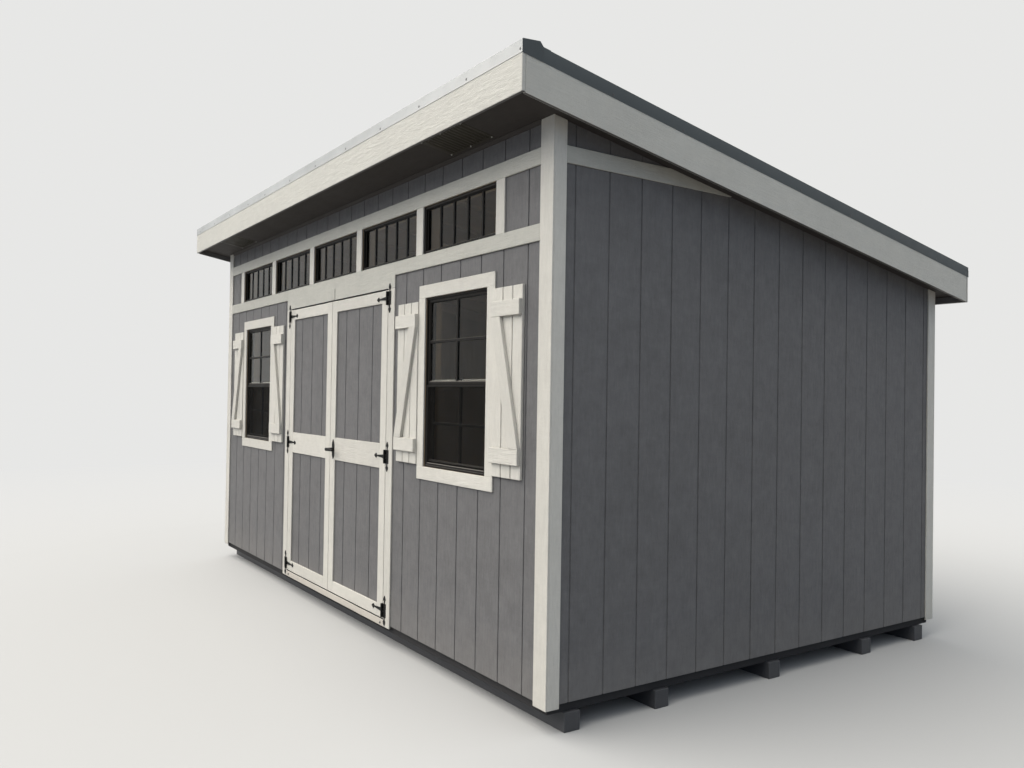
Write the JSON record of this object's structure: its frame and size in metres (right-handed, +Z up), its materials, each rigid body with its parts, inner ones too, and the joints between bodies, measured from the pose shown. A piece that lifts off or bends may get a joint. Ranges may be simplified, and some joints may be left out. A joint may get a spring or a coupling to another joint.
{
  "type": "garden studio shed",
  "caption": "Timber garden studio shed on skids with double doors, shuttered windows, transom lights and a sloping ribbed metal roof.",
  "frame": {"origin": "on the ground, in the middle of the body's footprint, on the middle skid's underside", "axes": "+X runs right along the front, +Y runs from the front to the back, +Z is up"},
  "size_m": [5.225, 3.5196, 2.9981],
  "materials": {
    "siding_paint": "painted, satin",
    "trim_paint": "painted, satin",
    "soffit_paint": "painted, matt",
    "vent_metal": "dark bronze, satin",
    "rim_paint": "painted, matt",
    "skid_timber": "treated, weathered",
    "bare_timber": "bare, planed",
    "roof_metal": "slate grey, satin",
    "window_frame": "black, satin",
    "window_glass": "clear",
    "black_hardware": "black, satin"
  },
  "bodies": {
    "shed": {"skids": "skid_timber", "floor_long_rims": "rim_paint", "floor_end_rims": "rim_paint", "floor_joists": "bare_timber", "floor_deck": "bare_timber", "rafters": "bare_timber", "roof_boards": "bare_timber", "front_wall_left": "siding_paint", "front_wall_right": "siding_paint", "front_wall_top": "siding_paint", "back_wall": "siding_paint", "left_wall": "siding_paint", "right_wall": "siding_paint", "front_back_corner_boards": "trim_paint", "side_corner_boards": "trim_paint", "upper_band": "trim_paint", "lower_band": "trim_paint", "door_head_board": "trim_paint", "door_jamb_boards": "trim_paint", "door_threshold": "trim_paint", "transom_boards": "trim_paint", "window_head_sill_boards": "trim_paint", "window_side_boards": "trim_paint", "left_window_shutters": "trim_paint", "right_window_shutters": "trim_paint", "eave_fascias": "trim_paint", "rake_fascias": "trim_paint", "eave_soffits": "soffit_paint", "rake_soffits": "soffit_paint", "soffit_vents": "vent_metal", "roof_panels": "roof_metal", "eave_trims": "roof_metal", "rake_trims": "roof_metal", "transom_frames": "window_frame", "window_frames": "window_frame", "window_sashes": "window_frame", "transom_glass": "window_glass", "window_glass": "window_glass", "hinge_jamb_plates": "black_hardware"},
    "left_door": {"left_door_leaf": "siding_paint", "left_door_boards": "trim_paint", "left_hinge_straps": "black_hardware"},
    "right_door": {"right_door_leaf": "siding_paint", "right_door_boards": "trim_paint", "right_hinge_straps": "black_hardware", "handle_plate": "black_hardware"},
    "door_handle": {"handle_lever": "black_hardware"}
  },
  "joints": [
    {"name": "left_door_hinge", "type": "hinge", "parent": "shed", "child": "left_door", "pos_m": [-0.83, -1.556, 1.13], "axis": [0, 0, -1], "range_deg": [0, 170]},
    {"name": "right_door_hinge", "type": "hinge", "parent": "shed", "child": "right_door", "pos_m": [0.84, -1.556, 1.13], "axis": [0, 0, 1], "range_deg": [0, 170]},
    {"name": "handle_turn", "type": "hinge", "parent": "right_door", "child": "door_handle", "pos_m": [0.037, -1.551, 1.126], "axis": [0, 1, 0], "range_deg": [0, 60], "stiffness_Nm_per_rad": 0.5, "springref_deg": -45.84}
  ]
}
